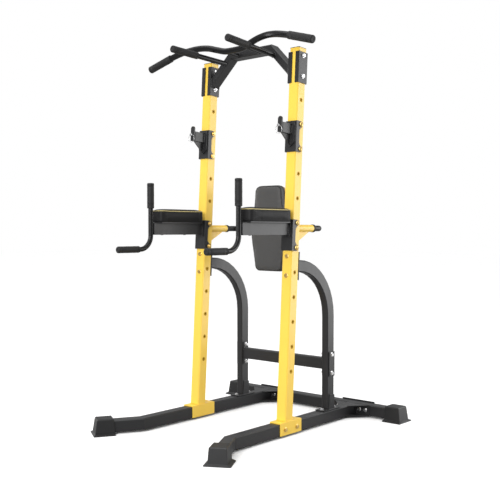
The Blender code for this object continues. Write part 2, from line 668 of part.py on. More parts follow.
def bar_hook(word, side):
    """Bracket with a short box arm, a front lip and a gusset, which holds one end of a barbell."""
    matrix = lean_matrix(side)
    origin = slide_origin(side, HOOK_HOLE)
    face = -TUBE / 2 - SLIDE_GAP - 0.004
    back = face - 0.008
    low = FIRST_HOLE + HOLE_PITCH * HOOK_HOLE
    shield = [(-0.028, low + 0.132), (-0.028, low + 0.030), (0, low + 0.008),
              (0.028, low + 0.030), (0.028, low + 0.132)]
    lip = [(-HOOK_HALF, HOOK_TUBE[0]), (HOOK_HALF, HOOK_TUBE[0])] + arc((0, HOOK_LIP), HOOK_HALF, 0, 180, 6)
    web = [(HOOK_FRONT + 0.010, HOOK_TUBE[0] + 0.001), (back + 0.002, HOOK_TUBE[0] + 0.001),
           (back + 0.002, low + 0.012)]
    arm = box((0.0005 - HOOK_HALF, HOOK_FRONT + 0.006, HOOK_TUBE[0] + 0.0005),
              (HOOK_HALF - 0.0005, back + 0.001, HOOK_TUBE[1]), matrix)
    hollow = box((-HOOK_HALF + 0.003, HOOK_FRONT + 0.009, HOOK_TUBE[0] + 0.003),
                 (HOOK_HALF - 0.003, back - 0.002, HOOK_TUBE[1] - 0.003), matrix)
    parts = [plate(shield, back, 0.0085, matrix), arm, plate(lip, HOOK_FRONT, 0.008, matrix),
             plate(web, -0.003, 0.006, matrix, axes="yz")]
    hook = bracket(side, HOOK_HOLE)
    fuse(hook, *[piece("part", data) for data in parts])
    cut(hook, piece("hollow", hollow))
    holes([hook], [leaning(side, 0, HOOK_FRONT, PIN_S)], back_direction(), 0.014, 0.0062)
    rename(hook, "bar_hook_" + word, BLACK, origin)
    bracket_bolts("hook_bolt_" + word, side, HOOK_HOLE, origin)


def rename(obj, name, material, origin):
    """Give a fused solid its final name, its material and an origin on its joint's axis."""
    shift = Vector(origin) - obj.location
    obj.data.transform(Matrix.Translation(-shift))
    obj.location = origin
    obj.name = name
    obj.data.name = name
    obj.data.materials.clear()
    obj.data.materials.append(material)
    return obj


RING_R = 0.0200
WIRE_R = 0.0014


def hook_pin(word, side):
    """Pull pin through the hook's lip, cross-drilled for its ring."""
    seat = leaning(side, 0, HOOK_FRONT, PIN_S)
    forward = -back_direction()
    profile = [(0.0145, 0), (0.0145, 0.0060), (0.0130, 0.0075), (0.0005, 0.0075), (0.0005, 0.0050),
               (-0.026, 0.0050), (-0.028, 0.0030), (-0.028, 0)]
    pin = smooth(piece("hook_pin_" + word, turned(seat, forward, profile, 12), ZINC, seat))
    eye = seat + forward * 0.0078 - Vector((0, 0, 0.0005))
    holes([pin], [eye], (1, 0, 0), 0.02, 0.0035)
    ring_top = seat + forward * 0.0078
    hook_ring(word, ring_top)


def hook_ring(word, top):
    """Wire ring that hangs from the pin's eye and swings about the eye's axis."""
    centre = top - Vector((0, 0, RING_R))
    data = bmesh.new()
    rings = []
    for i in range(20):
        angle = 2 * math.pi * i / 20
        out = Vector((math.sin(angle), 0, math.cos(angle)))
        section = [out * (RING_R + u) + Vector((0, v, 0)) for u, v in circle(WIRE_R, 6)]
        rings.append([data.verts.new(centre + offset) for offset in section])
    for low, high in zip(rings, rings[1:] + rings[:1]):
        for i in range(6):
            j = (i + 1) % 6
            data.faces.new((low[i], low[j], high[j], high[i]))
    smooth(piece("hook_ring_" + word, data, ZINC, top), 80)


# ---- dip arms ------------------------------------------------------------------------------------

def dip_arm(word, side):
    """Bracket with a level arm tube and the plate that the arm pad is screwed to."""
    x = side * UPRIGHT_X
    origin = slide_origin(side, ARM_HOLE)
    matrix = lean_matrix(side)
    face = -TUBE / 2 - SLIDE_GAP - 0.004
    plate_back = box((-0.025, face - 0.008, 0.916), (0.025, face + 0.001, 0.998), matrix)
    front = HANDLE_Y + HANDLE_R + GAP
    rear = UPRIGHT_Y + 0.0165
    outer = box((x - ARM_X / 2, front, ARM_Z[0]), (x + ARM_X / 2, rear, ARM_Z[1]))
    inner = box((x - ARM_X / 2 + 0.0025, front + 0.0025, ARM_Z[0] + 0.0025),
                (x + ARM_X / 2 - 0.0025, rear - 0.006, ARM_Z[1] - 0.0025))
    shelf = box((x - 0.038, PAD_Y[0] + 0.012, ARM_Z[1] - 0.001),
                (x + 0.038, PAD_Y[1] - 0.012, ARM_Z[1] + 0.005))
    arm = bracket(side, ARM_HOLE)
    fuse(arm, piece("end", plate_back), piece("tube", outer), piece("shelf", shelf))
    cut(arm, piece("hollow", inner))
    holes([arm], [(x, front + 0.030, ARM_Z[0])], (0, 0, 1), 0.01, 0.004)
    rename(arm, "dip_arm_" + word, BLACK, origin)
    bracket_bolts("arm_bolt_" + word, side, ARM_HOLE, origin)


def dip_handle(word, side):
    """Round tube welded to the arm's front end: an upright grip above, a forward grip below."""
    x = side * UPRIGHT_X
    curve = arc((HANDLE_Y - HANDLE_BEND, LOWER_Z + HANDLE_BEND), HANDLE_BEND, 0, -90, 6)
    path = [(x, HANDLE_Y, 1.2535)] + [(x, y, z) for y, z in curve] + [(x, UPRIGHT_Y - 0.5525, LOWER_Z)]
    origin = slide_origin(side, ARM_HOLE)
    data = round_tube(path_stations(path, (1, 0, 0)), HANDLE_R, 12)
    smooth(piece("dip_handle_" + word, data, BLACK, origin), 60)


def dip_grips(word, side):
    x = side * UPRIGHT_X
    bore = HANDLE_R + 0.0004
    sleeve("dip_grip_" + word, (x, HANDLE_Y, 1.130), (0, 0, 1), 0.129, bore, 0.0178, FOAM)
    sleeve("lower_grip_" + word, (x, UPRIGHT_Y - 0.420, LOWER_Z), (0, -1, 0), 0.138, bore, 0.0168, FOAM)


def arm_pad(word, side):
    """Forearm cushion, a plain block here."""
    x = side * UPRIGHT_X
    half = PAD_X / 2
    trim = 0.018
    front, back = PAD_Y
    outline = [(half, front + trim), (half, back - trim), (half - trim, back), (trim - half, back),
               (-half, back - trim), (-half, front + trim), (trim - half, front), (half - trim, front)]
    outline = [(x + u, v) for u, v in outline]
    data = plate(outline, PAD_Z[0], PAD_Z[1] - PAD_Z[0], axes="xy")
    piece("arm_pad_" + word, data, LEATHERETTE, slide_origin(side, ARM_HOLE))


# ---- backrest ------------------------------------------------------------------------------------

def backrest_frame():
    """U-shaped tube that plugs into both sockets, with a plate for the back board."""
    bend = 0.034
    start = UPRIGHT_Y + 0.112
    corner_y = BACK_TUBE_Y - bend
    corner_x = UPRIGHT_X - bend
    right = [(UPRIGHT_X, start)] + arc((corner_x, corner_y), bend, 0, 90, 5)
    left = [(-x, y) for x, y in reversed(right)]
    path = [(x, y, PEG_Z) for x, y in right + left]
    origin = (0, BACK_TUBE_Y, PEG_Z)
    tube = piece("backrest_frame", round_tube(path_stations(path, (0, 0, 1)), PEG_R, 12), BLACK)
    face = BACK_PAD_Y[1] + 0.0126
    mount = box((-0.070, face + GAP, PEG_Z - 0.045), (0.070, BACK_TUBE_Y - PEG_R + 0.002, PEG_Z + 0.045))
    fuse(tube, piece("mount", mount))
    rename(tube, "backrest_frame", BLACK, origin)
    smooth(tube, 60)


def coffin(scale):
    """Outline of the back pad: widest at the shoulders' rest, narrower at the top and the bottom."""
    half = [(0.060, 1.265), (0.082, 1.255), (0.092, 1.240), (0.1255, 0.990), (0.094, 0.815), (0.084, 0.799),
            (0.066, 0.792)]
    middle = 1.0285
    half = [(x * scale, middle + (z - middle) * scale) for x, z in half]
    return half + [(-x, z) for x, z in reversed(half)]


def backrest():
    origin = (0, BACK_TUBE_Y, PEG_Z)
    board_y = BACK_PAD_Y[1] + GAP
    board = plate(coffin(0.97), board_y, 0.012)
    piece("backrest_board", board, PLYWOOD, origin)
    piece("back_pad", plate(coffin(1.0), BACK_PAD_Y[0], BACK_PAD_Y[1] - BACK_PAD_Y[0]), LEATHERETTE, origin)
    backrest_frame()


# ---- assembly ------------------------------------------------------------------------------------

rear_rail()
boots()
for word, side in SIDES.items():
    side_rail(word, side)
    rear_plate(word, side)
    upright_lower(word, side)
    upright_upper(word, side)
    upright_splice(word, side)
    upright_cap(word, side)
    rear_brace(word, side)
    crossbar_plate(word, side)
    frame_clamp(word, side)
    bar_grip(word, side)
    neutral_bar(word, side)
    neutral_grip(word, side)
    bar_hook(word, side)
    hook_pin(word, side)
    dip_arm(word, side)
    dip_handle(word, side)
    dip_grips(word, side)
    arm_pad(word, side)
brace_crossbar()
pull_up_frame()
pull_up_bar()
backrest()
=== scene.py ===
import json
import math

import bmesh
import bpy
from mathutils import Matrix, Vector


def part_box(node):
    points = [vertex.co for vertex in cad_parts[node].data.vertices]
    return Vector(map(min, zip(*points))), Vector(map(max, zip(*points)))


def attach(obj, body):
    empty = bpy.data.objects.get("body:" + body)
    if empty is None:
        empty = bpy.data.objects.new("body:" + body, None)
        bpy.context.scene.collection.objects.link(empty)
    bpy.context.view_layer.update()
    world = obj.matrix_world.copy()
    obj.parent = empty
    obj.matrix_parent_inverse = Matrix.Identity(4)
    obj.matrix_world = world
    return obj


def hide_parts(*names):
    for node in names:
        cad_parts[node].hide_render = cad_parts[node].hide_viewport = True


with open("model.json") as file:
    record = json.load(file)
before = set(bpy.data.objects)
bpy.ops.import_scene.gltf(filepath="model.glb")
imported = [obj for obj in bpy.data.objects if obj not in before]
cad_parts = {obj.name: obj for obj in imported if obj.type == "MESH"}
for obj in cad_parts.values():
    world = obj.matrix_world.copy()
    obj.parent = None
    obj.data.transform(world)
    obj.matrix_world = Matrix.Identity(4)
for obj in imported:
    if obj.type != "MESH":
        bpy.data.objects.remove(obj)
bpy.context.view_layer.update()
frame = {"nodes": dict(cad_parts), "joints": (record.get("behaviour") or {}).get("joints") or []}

SIDES = (("left", -1), ("right", 1))


# ---- camera and studio ---------------------------------------------------------------------------
# A long lens at waist height, looking along the tower's right front corner.
# A wide soft light from above, soft boxes in front and at both sides, and a white floor and surround.
# The box behind the right side is the one whose sheen shows along every face turned that way.
# The floor is white to the eye and grey to the tower, so that its glow doesn't wash out the black.

camera = bpy.data.objects.new("camera", bpy.data.cameras.new("camera"))
bpy.context.scene.collection.objects.link(camera)
camera.location = (2.814, -3.161, 1.017)
camera.rotation_euler = (math.radians(88.63), 0, math.radians(41.075))
camera.data.lens = 58.6
camera.data.sensor_width = 36
bpy.context.scene.camera = camera
bpy.context.scene.view_settings.view_transform = "Standard"


def soft_box(name, place, aim, size, power):
    light = bpy.data.lights.new(name, "AREA")
    light.shape = "RECTANGLE"
    light.size, light.size_y = size
    light.energy = power
    lamp = bpy.data.objects.new(name, light)
    lamp.location = place
    lamp.rotation_euler = (Vector(aim) - Vector(place)).to_track_quat("-Z", "Y").to_euler()
    bpy.context.scene.collection.objects.link(lamp)


soft_box("front_box", (1.0, -4.8, 2.4), (0, 0, 1.1), (2.5, 2.5), 190)
soft_box("right_box", (2.6, 3.0, 1.4), (0, 0, 1.1), (3.0, 3.2), 105)
soft_box("left_box", (-4.2, -0.8, 1.8), (0, 0, 1.0), (1.6, 2.6), 45)

canopy = bpy.data.objects.new("canopy", bpy.data.lights.new("canopy", "SUN"))
canopy.data.energy = 2.0
canopy.data.angle = math.radians(80)
canopy.rotation_euler = (math.radians(15), 0, 0)
bpy.context.scene.collection.objects.link(canopy)

world = bpy.data.worlds.new("studio")
bpy.context.scene.world = world
world.use_nodes = True
sky = world.node_tree
seen = sky.nodes.new("ShaderNodeLightPath")
level = sky.nodes.new("ShaderNodeMapRange")
level.inputs["To Min"].default_value = 0.45
level.inputs["To Max"].default_value = 1.0
sky.links.new(seen.outputs["Is Camera Ray"], level.inputs["Value"])
sky.nodes["Background"].inputs["Color"].default_value = (1.0, 1.0, 1.0, 1.0)
sky.links.new(level.outputs["Result"], sky.nodes["Background"].inputs["Strength"])

floor_mesh = bpy.data.meshes.new("floor")
floor_mesh.from_pydata([(-30, -30, 0), (30, -30, 0), (30, 30, 0), (-30, 30, 0)], [], [(0, 1, 2, 3)])
floor = bpy.data.objects.new("floor", floor_mesh)
bpy.context.scene.collection.objects.link(floor)
floor_paint = bpy.data.materials.new("pale_floor")
floor_paint.use_nodes = True
paint = floor_paint.node_tree
direct = paint.nodes.new("ShaderNodeLightPath")
shade = paint.nodes.new("ShaderNodeMix")
shade.data_type = "RGBA"
shade.inputs["A"].default_value = (0.34, 0.34, 0.34, 1)
shade.inputs["B"].default_value = (0.97, 0.97, 0.97, 1)
paint.links.new(direct.outputs["Is Camera Ray"], shade.inputs["Factor"])
paint.links.new(shade.outputs["Result"], paint.nodes["Principled BSDF"].inputs["Base Color"])
paint.nodes["Principled BSDF"].inputs["Roughness"].default_value = 0.9
floor_mesh.materials.append(floor_paint)


# ---- yellow uprights -----------------------------------------------------------------------------
# Square steel tube in yellow powder coat. Each upright is in two lengths, the lower welded to a saddle.
# A thin flanged sleeve lines each adjustment hole, in an ochre that is painted shade for the holes' dark
# insides, and weld beads run round the joints.

def new_group(name, inputs, outputs):
    group = bpy.data.node_groups.new(name, "ShaderNodeTree")
    for label, kind, value in inputs:
        socket = group.interface.new_socket(label, in_out="INPUT", socket_type=kind)
        if value is not None:
            socket.default_value = value
    for label, kind in outputs:
        group.interface.new_socket(label, in_out="OUTPUT", socket_type=kind)
    return group, group.nodes.new("NodeGroupInput"), group.nodes.new("NodeGroupOutput")


def link(tree, source, target):
    tree.links.new(source, target)


def math_node(tree, operation, first, second, clamp=False):
    node = tree.nodes.new("ShaderNodeMath")
    node.operation = operation
    node.use_clamp = clamp
    for socket, value in zip(node.inputs, (first, second)):
        if isinstance(value, (int, float)):
            socket.default_value = value
        else:
            link(tree, value, socket)
    return node.outputs[0]


def noise(tree, coordinates, scale, detail=3.0, roughness=0.5):
    node = tree.nodes.new("ShaderNodeTexNoise")
    link(tree, coordinates, node.inputs["Vector"])
    if isinstance(scale, (int, float)):
        node.inputs["Scale"].default_value = scale
    else:
        link(tree, scale, node.inputs["Scale"])
    node.inputs["Detail"].default_value = detail
    node.inputs["Roughness"].default_value = roughness
    return node.outputs["Fac"]


def ramp(tree, value, low, high):
    node = tree.nodes.new("ShaderNodeMapRange")
    link(tree, value, node.inputs["Value"])
    node.inputs["From Min"].default_value = low
    node.inputs["From Max"].default_value = high
    return node.outputs["Result"]


def edge_wear_group():
    """Rubbed edges, found where the rounded normal differs from the true one."""
    group, given, made = new_group("worn_edges", [("Coordinates", "NodeSocketVector", None)],
                                   [("Mask", "NodeSocketFloat")])
    rounded = group.nodes.new("ShaderNodeBevel")
    rounded.samples = 4
    rounded.inputs["Radius"].default_value = 0.0016
    true = group.nodes.new("ShaderNodeNewGeometry")
    dot = group.nodes.new("ShaderNodeVectorMath")
    dot.operation = "DOT_PRODUCT"
    link(group, rounded.outputs["Normal"], dot.inputs[0])
    link(group, true.outputs["Normal"], dot.inputs[1])
    edge = ramp(group, math_node(group, "SUBTRACT", 1.0, dot.outputs["Value"]), 0.02, 0.16)
    patchy = ramp(group, noise(group, given.outputs["Coordinates"], 38.0, 4.0, 0.6), 0.42, 0.66)
    link(group, math_node(group, "MULTIPLY", edge, patchy, True), made.inputs["Mask"])
    return group


def speckle_group():
    """Grain in three sizes, which every finish here uses: fine grain, broad patches and long smears."""
    group, given, made = new_group(
        "speckle", [("Coordinates", "NodeSocketVector", None), ("Scale", "NodeSocketFloat", 900.0)],
        [("Grain", "NodeSocketFloat"), ("Patches", "NodeSocketFloat"), ("Smears", "NodeSocketFloat")])
    coordinates = given.outputs["Coordinates"]
    link(group, noise(group, coordinates, given.outputs["Scale"], 2.0, 0.6), made.inputs["Grain"])
    link(group, noise(group, coordinates, 7.0, 3.0, 0.5), made.inputs["Patches"])
    stretched = group.nodes.new("ShaderNodeMapping")
    stretched.inputs["Scale"].default_value = (60.0, 60.0, 9.0)
    link(group, coordinates, stretched.inputs["Vector"])
    link(group, noise(group, stretched.outputs["Vector"], 1.0, 4.0, 0.65), made.inputs["Smears"])
    return group


WORN_EDGES = edge_wear_group()
SPECKLE = speckle_group()


def finish(name, colour, roughness, grain_scale, grain_height, spread=0.10, metallic=0.0, worn=None,
           rough_spread=0.12, sheen=0.0, coat=0.0, specular=0.5, streaks=False):
    """A procedural finish: patches or streaks in the colour, grain in the bump, and worn edges."""
    material = bpy.data.materials.new(name)
    material.use_nodes = True
    tree = material.node_tree
    shader = tree.nodes["Principled BSDF"]
    place = tree.nodes.new("ShaderNodeTexCoord").outputs["Object"]
    speckle = tree.nodes.new("ShaderNodeGroup")
    speckle.node_tree = SPECKLE
    link(tree, place, speckle.inputs["Coordinates"])
    speckle.inputs["Scale"].default_value = grain_scale
    tint = tree.nodes.new("ShaderNodeMix")
    tint.data_type = "RGBA"
    tint.inputs["A"].default_value = (*[c * (1 - spread) for c in colour], 1)
    tint.inputs["B"].default_value = (*[min(1.0, c * (1 + spread)) for c in colour], 1)
    broad = ramp(tree, speckle.outputs["Smears"], 0.36, 0.64) if streaks else speckle.outputs["Patches"]
    link(tree, math_node(tree, "ADD", math_node(tree, "MULTIPLY", broad, 0.75),
                         math_node(tree, "MULTIPLY", speckle.outputs["Grain"], 0.25)), tint.inputs["Factor"])
    base = tint.outputs["Result"]
    if worn:
        edges = tree.nodes.new("ShaderNodeGroup")
        edges.node_tree = WORN_EDGES
        link(tree, place, edges.inputs["Coordinates"])
        rubbed = tree.nodes.new("ShaderNodeMix")
        rubbed.data_type = "RGBA"
        rubbed.inputs["B"].default_value = (*worn, 1)
        link(tree, base, rubbed.inputs["A"])
        link(tree, edges.outputs["Mask"], rubbed.inputs["Factor"])
        base = rubbed.outputs["Result"]
    link(tree, base, shader.inputs["Base Color"])
    smears = math_node(tree, "MULTIPLY", speckle.outputs["Smears"], rough_spread)
    link(tree, math_node(tree, "ADD", smears, roughness - rough_spread / 2), shader.inputs["Roughness"])
    bump = tree.nodes.new("ShaderNodeBump")
    bump.inputs["Strength"].default_value = 0.6
    bump.inputs["Distance"].default_value = grain_height
    link(tree, speckle.outputs["Grain"], bump.inputs["Height"])
    link(tree, bump.outputs["Normal"], shader.inputs["Normal"])
    shader.inputs["Metallic"].default_value = metallic
    shader.inputs["Sheen Weight"].default_value = sheen
    shader.inputs["Coat Weight"].default_value = coat
    shader.inputs["Specular IOR Level"].default_value = specular
    shader.inputs["Coat Roughness"].default_value = 0.2
    return material


def dress(node, material, edge=0.0012, segments=3):
    """Gives a frame piece its finish and rolled edges."""
    obj = frame["nodes"][node]
    obj.data.materials.clear()
    obj.data.materials.append(material)
    weld = obj.modifiers.new("weld", "WELD")
    weld.merge_threshold = 0.00002
    if edge:
        bevel = obj.modifiers.new("rolled_edges", "BEVEL")
        bevel.width = edge
        bevel.segments = segments
        bevel.limit_method = "ANGLE"
        bevel.angle_limit = math.radians(50)
        bevel.use_clamp_overlap = True
        bevel.harden_normals = True
    return obj


def add_piece(name, data, body, material, smooth=40):
    """Turns a bmesh into a piece that rides on a body of the frame."""
    bmesh.ops.recalc_face_normals(data, faces=data.faces[:])
    mesh = bpy.data.meshes.new(name)
    data.to_mesh(mesh)
    data.free()
    mesh.materials.append(material)
    if smooth:
        mesh.shade_smooth()
        mesh.set_sharp_from_angle(angle=math.radians(smooth))
    obj = bpy.data.objects.new(name, mesh)
    bpy.context.scene.collection.objects.link(obj)
    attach(obj, body)
    return obj


UPRIGHT_X = 0.3015
UPRIGHT_Y = -0.0187
LEAN = math.radians(3.36)
TUBE = 0.060
RAIL_TOP = 0.070
HOLE_PITCH = 0.1227
FIRST_HOLE = 0.250
HOLE_COUNT = 12
UP = Vector((0, math.sin(LEAN), math.cos(LEAN)))
BACK = Vector((0, math.cos(LEAN), -math.sin(LEAN)))
ACROSS = Vector((1, 0, 0))

yellow_coat = finish("yellow_powder_coat", (0.92, 0.61, 0.075), 0.36, 1500.0, 0.00005, 0.05,
                     worn=(0.98, 0.74, 0.22), coat=0.25)
yellow_bead = finish("yellow_weld_bead", (0.88, 0.55, 0.05), 0.40, 300.0, 0.0003, 0.10)
# The sleeves' ochre is the yellow coat darkened as painted shade, standing in for the shade inside each
# hole.
sleeve_painted_shade = finish("ochre_sleeve", (0.50, 0.29, 0.02), 0.5, 500.0, 0.00003, 0.12, specular=0.15)


def leaning(x, n, s):
    """World point from the uprights' own axes: x across, n to the back, s up the tube from the rail."""
    return Vector((x, UPRIGHT_Y, RAIL_TOP)) + BACK * n + UP * s


def ring_frame(direction):
    along = Vector(direction).normalized()
    helper = Vector((0, 0, 1)) if abs(along.z) < 0.9 else Vector((1, 0, 0))
    across = along.cross(helper).normalized()
    return along, across, across.cross(along)


def ring_of(data, centre, across, up, radius, sides):
    """One round ring of vertices."""
    angles = [2 * math.pi * i / sides for i in range(sides)]
    return [data.verts.new(centre + (across * math.cos(a) + up * math.sin(a)) * radius) for a in angles]


def bridge(data, rings):
    """The wall between each ring and the next."""
    for low, high in zip(rings, rings[1:]):
        for i in range(len(low)):
            j = (i + 1) % len(low)
            data.faces.new((low[i], low[j], high[j], high[i]))


def turn(start, direction, profile, sides, data=None):
    """Turned shape: profile is (distance along, radius) pairs. It closes on the axis or on itself."""
    data = data or bmesh.new()
    along, across, up = ring_frame(direction)
    rings = []
    for distance, radius in profile:
        centre = Vector(start) + along * distance
        if radius == 0:
            rings.append([data.verts.new(centre)])
        else:
            rings.append(ring_of(data, centre, across, up, radius, sides))
    pairs = list(zip(rings, rings[1:]))
    if len(rings[0]) > 1:
        pairs.append((rings[-1], rings[0]))
    for low, high in pairs:
        for i in range(sides):
            j = (i + 1) % sides
            corners = [low[i % len(low)], low[j % len(low)], high[j % len(high)], high[i % len(high)]]
            data.faces.new(list(dict.fromkeys(corners)))
    return data


def bead(points, radius, data=None, closed=False, sides=8, ripple=0.18, step=0.0035):
    """Weld bead along a line: a thin rope whose thickness ripples with each stitch of the torch."""
    data = data or bmesh.new()
    points = [Vector(p) for p in points]
    if closed:
        points.append(points[0])
    path = []
    for a, b in zip(points, points[1:]):
        count = max(1, int((b - a).length / step))
        path += [a.lerp(b, i / count) for i in range(count)]
    path.append(points[-1])
    rings = []
    for k, point in enumerate(path):
        ahead = path[min(k + 1, len(path) - 1)] - path[max(k - 1, 0)]
        along, across, up = ring_frame(ahead)
        thick = radius * (1 + ripple * math.sin(k * 2.1))
        if not closed and k in (0, len(path) - 1):
            thick *= 0.35
        rings.append(ring_of(data, point, across, up, thick, sides))
    bridge(data, rings)
    data.faces.new(rings[0])
    data.faces.new(rings[-1])
    return data


def round_seam(centre, radius, count=20):
    """Points round the root of a tube that stands on an upright's front or back face."""
    angles = [2 * math.pi * i / count for i in range(count)]
    return [centre + ACROSS * radius * math.cos(a) + UP * radius * math.sin(a) for a in angles]


for word, side in SIDES:
    dress("upright_lower_" + word, yellow_coat)
    dress("upright_upper_" + word, yellow_coat)
    # Sleeves in painted shade: their ochre flange rings and bores stand in for the shade in each hole.
    sleeves = bmesh.new()
    rim = [(-0.00005, 0.00595), (-0.00005, 0.0104), (-0.0004, 0.0106), (-0.0007, 0.0100), (-0.0007, 0.0068),
           (-0.0003, 0.0058)]
    far_rim = [(TUBE - depth, radius) for depth, radius in rim]
    profile = [(-0.0003, 0.0056)] + rim[::-1] + far_rim + [(TUBE + 0.0003, 0.0056)]
    for number in range(HOLE_COUNT):
        seat = leaning(side * UPRIGHT_X - TUBE / 2, 0, FIRST_HOLE + HOLE_PITCH * number)
        turn(seat, (1, 0, 0), profile, 32, sleeves)
    add_piece("hole_sleeves_" + word, sleeves, "root", sleeve_painted_shade)
    welds = bmesh.new()
    for n in (-0.0305, 0.0305):
        foot = -n * math.tan(LEAN) + 0.0062
        bead([leaning(side * UPRIGHT_X + x, n, foot) for x in (-0.026, 0.026)], 0.0022, welds)
    for x in (-0.0305, 0.0305):
        bead([leaning(side * UPRIGHT_X + x, n, 0.0062) for n in (-0.026, 0.026)], 0.0022, welds)
    socket_foot = leaning(side * UPRIGHT_X, 0.0312, 0.9605)
    bead(round_seam(socket_foot, 0.0186, 24), 0.0018, welds, closed=True, step=0.003)
    for x in (-0.0032, 0.0032):
        bead([leaning(side * UPRIGHT_X + x, 0.0312, s) for s in (0.884, 0.942)], 0.0014, welds)
    add_piece("upright_welds_" + word, welds, "root", yellow_bead)


# ---- black frame ---------------------------------------------------------------------------------
# Base rails, bent rear braces, crossbar, clamps and the arched pull-up frame: square and oblong
# steel tube and cut plate in satin black powder coat, welded at the joints and bolted together.

black_coat = finish("black_powder_coat", (0.014, 0.014, 0.015), 0.38, 1300.0, 0.00008, 0.16,
                    worn=(0.06, 0.06, 0.062), rough_spread=0.16)
black_bead = finish("black_weld_bead", (0.014, 0.014, 0.015), 0.36, 300.0, 0.0003, 0.15)
liner_steel = finish("bare_liner_steel", (0.20, 0.20, 0.21), 0.45, 700.0, 0.00005, 0.15, metallic=1.0)

for node in ("rear_rail", "brace_crossbar", "pull_up_frame"):
    dress(node, black_coat)
for word, _ in SIDES:
    for node in ("side_rail", "rear_plate", "rear_brace", "crossbar_plate", "frame_clamp"):
        dress(f"{node}_{word}", black_coat)
    dress("upright_splice_" + word, liner_steel, 0)

COLUMN_Y = UPRIGHT_Y + 0.368
BRACE_X = 0.040
CROSS_Z = 0.313
STRUT_X = 0.075
STRUT_S = 1.872
for word, side in SIDES:
    x = side * UPRIGHT_X
    welds = bmesh.new()
    flange_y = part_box("rear_rail")[0].y - 0.0055
    for edge in (-0.031, 0.031):
        bead([(x + edge, flange_y, z) for z in (0.018, 0.062)], 0.0022, welds)
    foot = RAIL_TOP + 0.0052
    for y in (COLUMN_Y - 0.031, COLUMN_Y + 0.031):
        bead([(x + dx, y, foot) for dx in (-0.018, 0.018)], 0.0020, welds)
    inner = x - side * (BRACE_X / 2 + 0.0055)
    for dy in (-0.0195, 0.0195):
        bead([(inner, COLUMN_Y + dy, z) for z in (CROSS_Z - 0.026, CROSS_Z + 0.026)], 0.0018, welds)
    for s in (0.745, 0.803):
        bead([leaning(x + dx, 0.0375, s) for dx in (-0.017, 0.017)], 0.0018, welds)
    web = x - side * (TUBE / 2 + 0.0055)
    for dn in (-0.031, 0.031):
        bead([leaning(web - side * 0.001, dn, s) for s in (1.727, 1.777)], 0.0020, welds)
    strut_root = leaning(side * STRUT_X, -0.0318, STRUT_S)
    handle_root = leaning(side * 0.1665, -0.0318, 1.842)
    for root, radius in ((strut_root, 0.0125), (handle_root, 0.0140)):
        bead(round_seam(root, radius), 0.0018, welds, closed=True, step=0.003)
    add_piece("frame_welds_" + word, welds, "root", black_bead)


# ---- bent pull-up bar, straight handles and backrest tube ----------------------------------------
# Round steel tube bent on a former, in a smoother and glossier black than the square frame.
# Each is swept along its bends, so that the tube stays round all the way.

BAR_R = 0.016
NEUTRAL_R = 0.0135
HANDLE_R = 0.0125
PEG_R = 0.015
PEG_Z = 1.028
HANDLE_Y = UPRIGHT_Y - 0.340
LOWER_Z = 0.922
HANDLE_BEND = 0.070


def smooth_curve(knots, steps):
    """Catmull-Rom curve through the knots."""
    knots = [Vector(k) for k in knots]
    knots = [2 * knots[0] - knots[1]] + knots + [2 * knots[-1] - knots[-2]]
    points = []
    for a, b, c, d in zip(knots, knots[1:], knots[2:], knots[3:]):
        for i in range(steps):
            t = i / steps
            points.append(0.5 * (2 * b + (c - a) * t + (2 * a - 5 * b + 4 * c - d) * t * t
                                 + (3 * b - a - 3 * c + d) * t * t * t))
    return points + [knots[-2]]


def arc(centre, radius, start, end, steps):
    angles = [math.radians(start + (end - start) * i / steps) for i in range(steps + 1)]
    return [(centre[0] + radius * math.cos(a), centre[1] + radius * math.sin(a)) for a in angles]


def swept_tube(points, radius, sides=32, wall=0.002):
    """Round tube along a path, with its wall showing at both open ends."""
    points = [Vector(p) for p in points]
    data = bmesh.new()
    shells = []
    for r in (radius, radius - wall):
        rings = []
        normal = None
        for k, point in enumerate(points):
            along = (points[min(k + 1, len(points) - 1)] - points[max(k - 1, 0)]).normalized()
            if normal is None:
                normal = ring_frame(along)[1]
            normal = (normal - along * normal.dot(along)).normalized()
            other = along.cross(normal)
            rings.append(ring_of(data, point, normal, other, r, sides))
        bridge(data, rings)
        shells.append(rings)
    for end in (0, -1):
        for i in range(sides):
            j = (i + 1) % sides
            data.faces.new((shells[0][end][i], shells[0][end][j], shells[1][end][j], shells[1][end][i]))
    return data


BAR_HALF = [(0, -0.148, 1.864), (0.060, -0.150, 1.866), (0.110, -0.158, 1.878), (0.170, -0.163, 1.894),
            (0.235, -0.172, 1.899), (0.300, -0.190, 1.890), (0.350, -0.200, 1.879), (0.400, -0.205, 1.866)]
GRIP_START = Vector((0.400, -0.205, 1.866))
GRIP_END = Vector((0.550, -0.215, 1.820))
NEUTRAL_START = Vector((0.166, -0.0303, 1.842))
NEUTRAL_END = Vector((0.188, -0.398, 1.841))

half = smooth_curve(BAR_HALF, 9) + [GRIP_END]
whole = [Vector((-p.x, p.y, p.z)) for p in reversed(half[1:])] + half
gloss_black = finish("gloss_black_paint", (0.007, 0.007, 0.0075), 0.26, 900.0, 0.00003, 0.15,
                     worn=(0.05, 0.05, 0.05), rough_spread=0.08, specular=0.28)
bar_tube = swept_tube([leaning(*p) for p in whole], BAR_R)
bar = add_piece("wide_bar", bar_tube, "root", gloss_black)
struts = bmesh.new()
for way in (-1, 1):
    start = leaning(way * STRUT_X, -0.0303, STRUT_S)
    length = 0.113
    rod = [(0, 0), (0, 0.0121), (length - 0.007, 0.0121), (length, 0.0118), (length, 0)]
    turn(start, -BACK, rod, 28, struts)
    collar = round_seam(leaning(way * STRUT_X, -0.1375, STRUT_S), 0.0122)
    bead(collar, 0.0019, struts, closed=True, step=0.003)
add_piece("bar_struts", struts, "root", gloss_black)
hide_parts("pull_up_bar")

